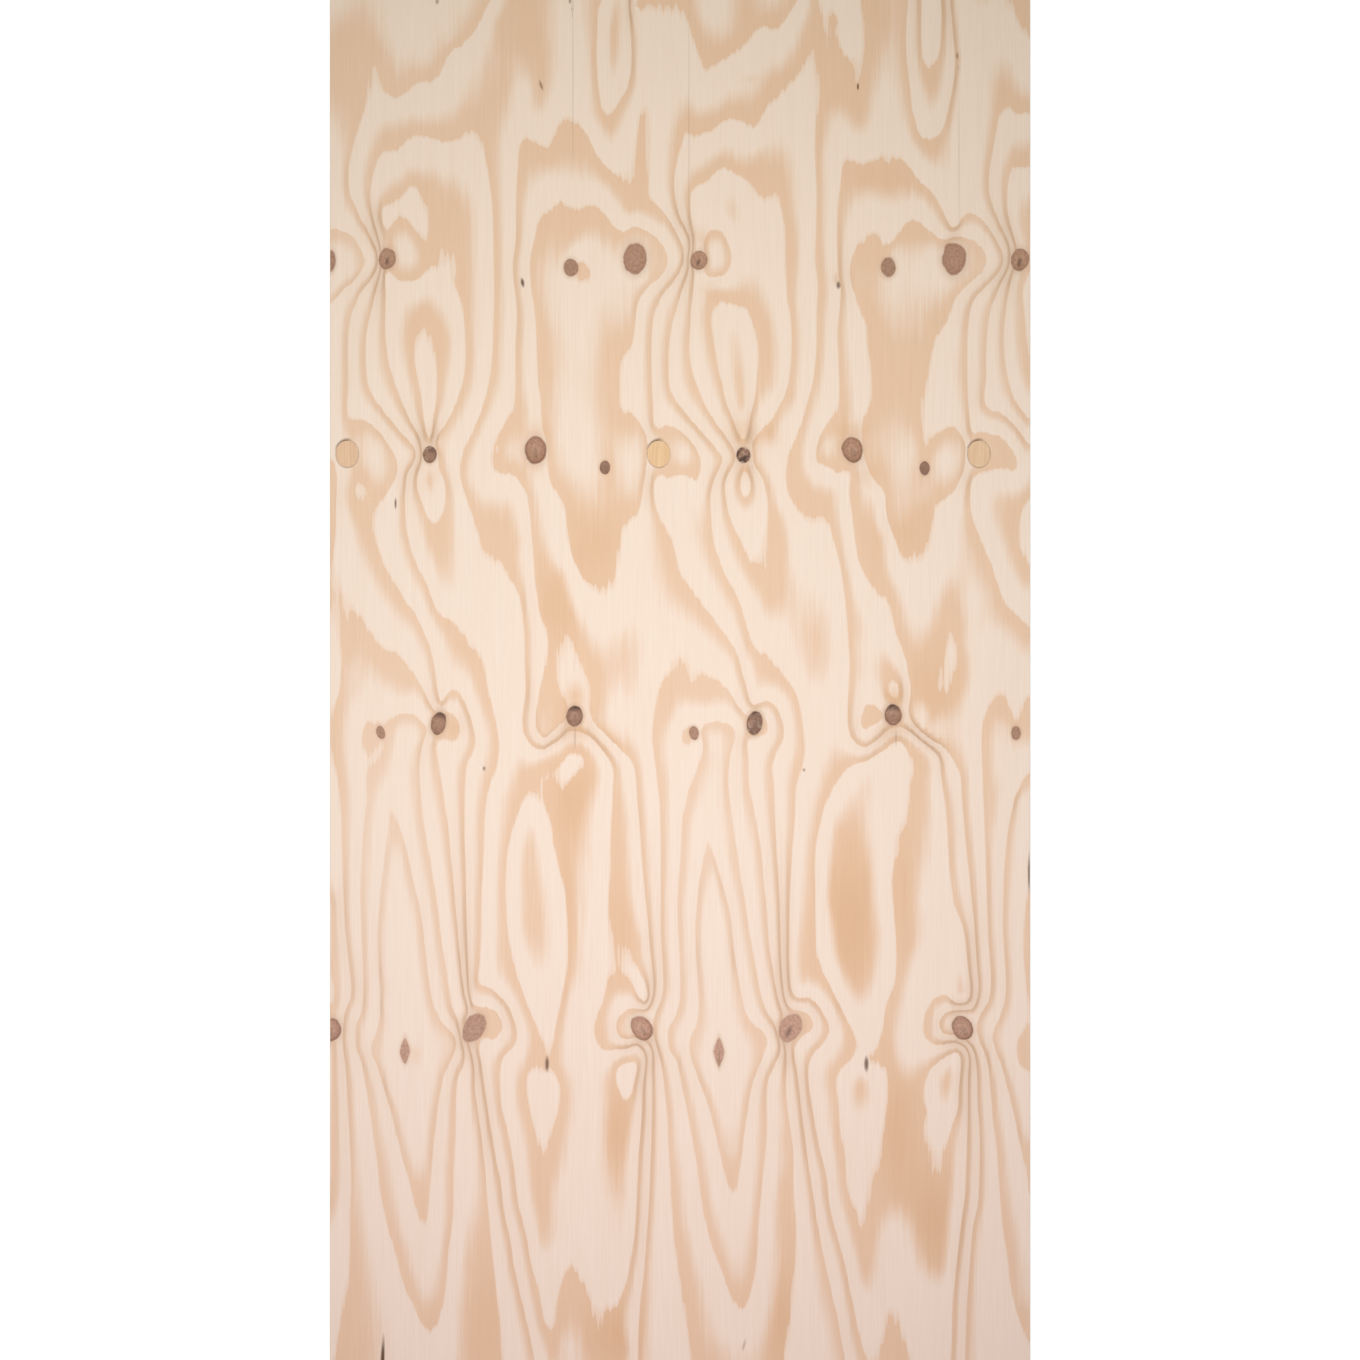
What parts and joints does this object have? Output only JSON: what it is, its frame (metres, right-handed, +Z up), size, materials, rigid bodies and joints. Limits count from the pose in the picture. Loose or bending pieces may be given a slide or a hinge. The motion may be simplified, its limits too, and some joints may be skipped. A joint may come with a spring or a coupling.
{
  "type": "plywood underlayment board",
  "caption": "Flat rectangular pine plywood sheet with a knotty peeled face and oval plugs set flush in its knot holes, laid as a floor or roof underlayment.",
  "frame": {"origin": "centre of the underside, on the surface that the board lies on", "axes": "+Z up out of the plugged face, +Y along the face grain and the board's length towards its head end, +X across the grain to the right edge"},
  "size_m": [1.22, 2.44, 0.012],
  "materials": {
    "pine_veneer": "sanded",
    "plug": "sanded"
  },
  "bodies": {
    "root": {"plywood_sheet": "pine_veneer", "knot_plug_1": "plug", "knot_plug_2": "plug", "knot_plug_3": "plug"}
  },
  "joints": []
}
